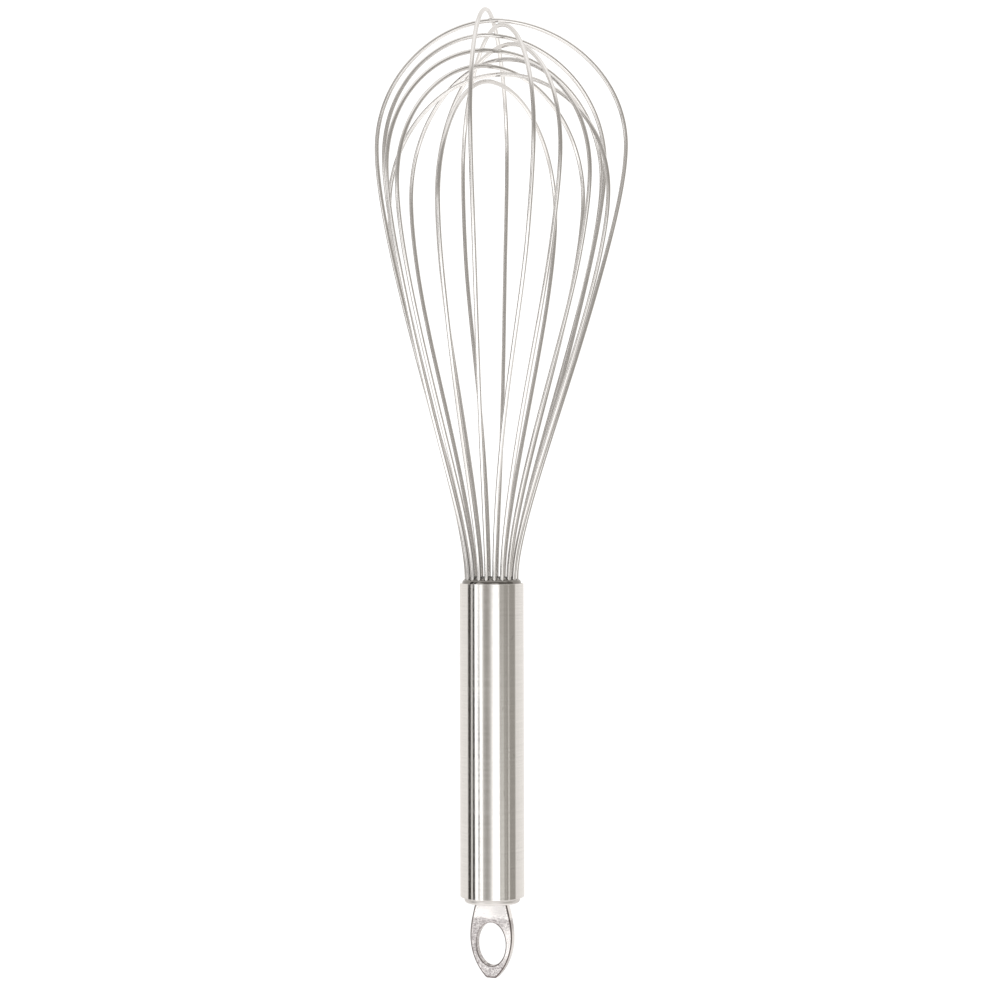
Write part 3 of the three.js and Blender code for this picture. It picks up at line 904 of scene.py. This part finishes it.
class WHISK_OT_hanging_eye(bpy.types.Operator):
    """Make the cast hanging eye

    The surface is a ring: one parameter runs round the outline and the other once round the bar's section,
    over the front face, the outer edge, the back face and the wall of the hole. The faces rise and fall by a
    product of two slow sines plus a third sine, as a casting's do. The painted shade is darkest on the outer
    edge, painted dark for the dark reflection of the rounded rims, is weaker on the hole's left and bottom
    edge, and holds one small blow hole low in the hole's wall."""

    bl_idname = "whisk.hanging_eye"
    bl_label = "Hanging Eye"

    def execute(self, context):
        eye = context.scene.whisk_eye
        outline, hole = eye_outline(eye, count=360)
        half, edge = eye.thickness / 2, eye.edge
        steps = 9
        arc = np.linspace(0, np.pi / 2, steps)
        inset, depth = edge * (1 - np.sin(arc)), half - edge + edge * np.cos(arc)
        # Painted shade: dark values on the rounded rims and the outer edge of each face, for the dark
        # reflection of the rims, weaker on the hole's left and bottom edge.
        dark = 1 - smooth(np.arange(steps), 3, 7)
        outer = [(outline - outward(outline) * i, d, shade_value) for i, d, shade_value in zip(inset, depth, dark)]
        hole_edge_shade = 0.45 + 0.55 * smooth(hole[:, 0], 0.5 * MM, 3.5 * MM)
        inner = [(hole + outward(hole) * i, d, shade_value * hole_edge_shade) for i, d, shade_value in zip(inset, depth, dark)]
        share_out = np.linspace(0, 1, 26)[1:-1]
        face_edge_shade = np.maximum(0, 12.5 * share_out - 11.5)
        from_hole, to_edge = inner[0][0], outer[0][0]
        face = [((1 - s) * from_hole + s * to_edge, half, shade_value) for s, shade_value in zip(share_out, face_edge_shade)]
        wall_depths = [(half - edge) * share for share in (0.8, 0.4)]
        hole_wall = [(hole, d, 0) for d in wall_depths[::-1]]
        outer_wall = [(outline, d, 0) for d in wall_depths]
        front = hole_wall + inner[::-1] + face + outer + outer_wall
        section = front + [(place, -d, shade_value) for place, d, shade_value in front[::-1]]
        places = np.stack([place for place, _, _ in section])
        depths = np.array([d for _, d, _ in section])[:, None] + 0 * places[:, :, 0]
        painted_shade = np.stack([shade_value + 0 * place[:, 0] for place, _, shade_value in section])
        x, z = places[:, :, 0], places[:, :, 1]
        on_face = np.abs(depths) > half - edge
        from_blow_hole = np.hypot((x + 1.1 * MM) / (0.75 * MM), (depths - 0.2 * MM) / (0.9 * MM))
        in_hole_bottom = (z < -6.2 * MM) * (np.abs(depths) < half - edge)
        painted_shade = np.maximum(painted_shade, (1 - smooth(from_blow_hole, 0.7, 1.1)) * in_hole_bottom)
        wave = np.sin(x / (1.9 * MM) + 0.7) * np.sin(z / (2.7 * MM) + 0.4)
        ripple = np.sin(z / (1.3 * MM) + x / (3.1 * MM))
        depths = depths * (1 + 0.012 * (wave + 0.6 * ripple) * on_face)
        across = x * math.cos(eye.turn) + depths * math.sin(eye.turn)
        through = x * math.sin(eye.turn) - depths * math.cos(eye.turn)
        grid = np.stack([across, through, z], axis=2)
        piece = closed_surface("cast_eye", grid, closed_rows=True, painted_shade=painted_shade)
        wear_in(piece, "cast_eye", cast_eye(eye), "hanging_eye")
        return {"FINISHED"}


class WHISK_OT_inside(bpy.types.Operator):
    """Finish the resin core and the tang pin, which stay as the frame has them"""

    bl_idname = "whisk.inside"
    bl_label = "Resin and Pin"

    def execute(self, context):
        inside = context.scene.whisk_inside
        for name, material in (("resin_core", potting_resin(inside)), ("tang_pin", ground_pin(inside))):
            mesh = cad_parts[name].data
            mesh.materials.clear()
            mesh.materials.append(material)
        return {"FINISHED"}


# ---- Studio ----


def studio_world(settings):
    """Plain white to the camera and to matt surfaces, and soft boxes, a room and flags to polished ones."""
    world = bpy.data.worlds.new("studio")
    world.use_nodes = True
    tree = world.node_tree
    tree.nodes.clear()
    direction = node(tree, "ShaderNodeTexCoord").outputs["Generated"]
    towards = node(tree, "ShaderNodeSeparateXYZ", {0: direction}).outputs
    round_from_front = maths(tree, "ARCTAN2", towards[0], maths(tree, "MULTIPLY", towards[1], -1.0))
    up = maths(tree, "ARCSINE", towards[2])
    seen = SURROUND
    for _, middle, half, level, half_level, softness, lean, tone in STUDIO:
        above = maths(tree, "SUBTRACT", up, math.radians(level))
        aside = maths(tree, "SUBTRACT", round_from_front, math.radians(middle))
        leaning = maths(tree, "MULTIPLY_ADD", above, lean, aside)
        masks = []
        level_softness = min(softness, MOST_LEVEL_SOFTNESS)
        for off, reach, soft in ((leaning, half, softness), (above, half_level, level_softness)):
            distance = maths(tree, "ABSOLUTE", off)
            masks.append(between(tree, distance, math.radians(reach + soft), math.radians(reach - soft)))
        seen = mixed(tree, maths(tree, "MULTIPLY", *masks), seen, tone)
    path = node(tree, "ShaderNodeLightPath").outputs
    plain = maths(tree, "MAXIMUM", path["Is Camera Ray"], path["Is Diffuse Ray"])
    light = mixed(tree, plain, seen, (settings.light,) * 3)
    background = node(tree, "ShaderNodeBackground", {"Color": light, "Strength": 1.0})
    node(tree, "ShaderNodeOutputWorld", {"Surface": background.outputs[0]})
    return world


class WHISK_OT_studio(bpy.types.Operator):
    """Set up the camera, the pale floor and the soft light"""

    bl_idname = "whisk.studio"
    bl_label = "Studio"

    def execute(self, context):
        studio = context.scene.whisk_studio
        lens = bpy.data.cameras.new("camera")
        lens.lens = studio.lens
        lens.clip_start, lens.clip_end = 0.01, 20
        camera = bpy.data.objects.new("camera", lens)
        camera.location = (studio.camera_right, -studio.distance, studio.camera_height)
        camera.rotation_euler = (math.radians(90), studio.camera_roll, 0)
        context.scene.collection.objects.link(camera)
        context.scene.camera = camera
        context.scene.world = studio_world(studio)
        context.scene.view_settings.view_transform = "Standard"
        half, level = studio.floor_size / 2, cad_box[0].z - studio.drop
        mesh = bpy.data.meshes.new("pale_floor")
        corners = [(-half, -half, level), (half, -half, level), (half, half, level), (-half, half, level)]
        mesh.from_pydata(corners, [], [(0, 1, 2, 3)])
        mesh.materials.append(pale_floor(studio))
        floor = bpy.data.objects.new("pale_floor", mesh)
        floor.visible_glossy = False
        context.scene.collection.objects.link(floor)
        return {"FINISHED"}


class WHISK_PT_pieces(bpy.types.Panel):
    """Lists the whisk's pieces and its studio"""

    bl_label = "Balloon Whisk"
    bl_idname = "WHISK_PT_pieces"
    bl_space_type = "VIEW_3D"
    bl_region_type = "UI"
    bl_category = "Whisk"

    def draw(self, context):
        for operator in OPERATORS:
            self.layout.operator(operator.bl_idname)


SETTINGS = {
    "whisk_handle": HandleSettings,
    "whisk_wires": WireSettings,
    "whisk_eye": EyeSettings,
    "whisk_inside": InsideSettings,
    "whisk_studio": StudioSettings,
}
OPERATORS = [
    WHISK_OT_studio,
    WHISK_OT_handle_tube,
    WHISK_OT_end_cap,
    WHISK_OT_mouth_plate,
    WHISK_OT_wires,
    WHISK_OT_hanging_eye,
    WHISK_OT_inside,
]
CLASSES = [*SETTINGS.values(), *OPERATORS, WHISK_PT_pieces]


def register():
    for cls in CLASSES:
        bpy.utils.register_class(cls)
    for name, cls in SETTINGS.items():
        setattr(bpy.types.Scene, name, bpy.props.PointerProperty(type=cls))


def unregister():
    for name in SETTINGS:
        delattr(bpy.types.Scene, name)
    for cls in reversed(CLASSES):
        bpy.utils.unregister_class(cls)


def main():
    register()
    bpy.ops.whisk.studio()
    bpy.ops.whisk.handle_tube()
    bpy.ops.whisk.end_cap()
    bpy.ops.whisk.mouth_plate()
    bpy.ops.whisk.wires()
    bpy.ops.whisk.hanging_eye()
    bpy.ops.whisk.inside()


if __name__ == "__main__":
    main()
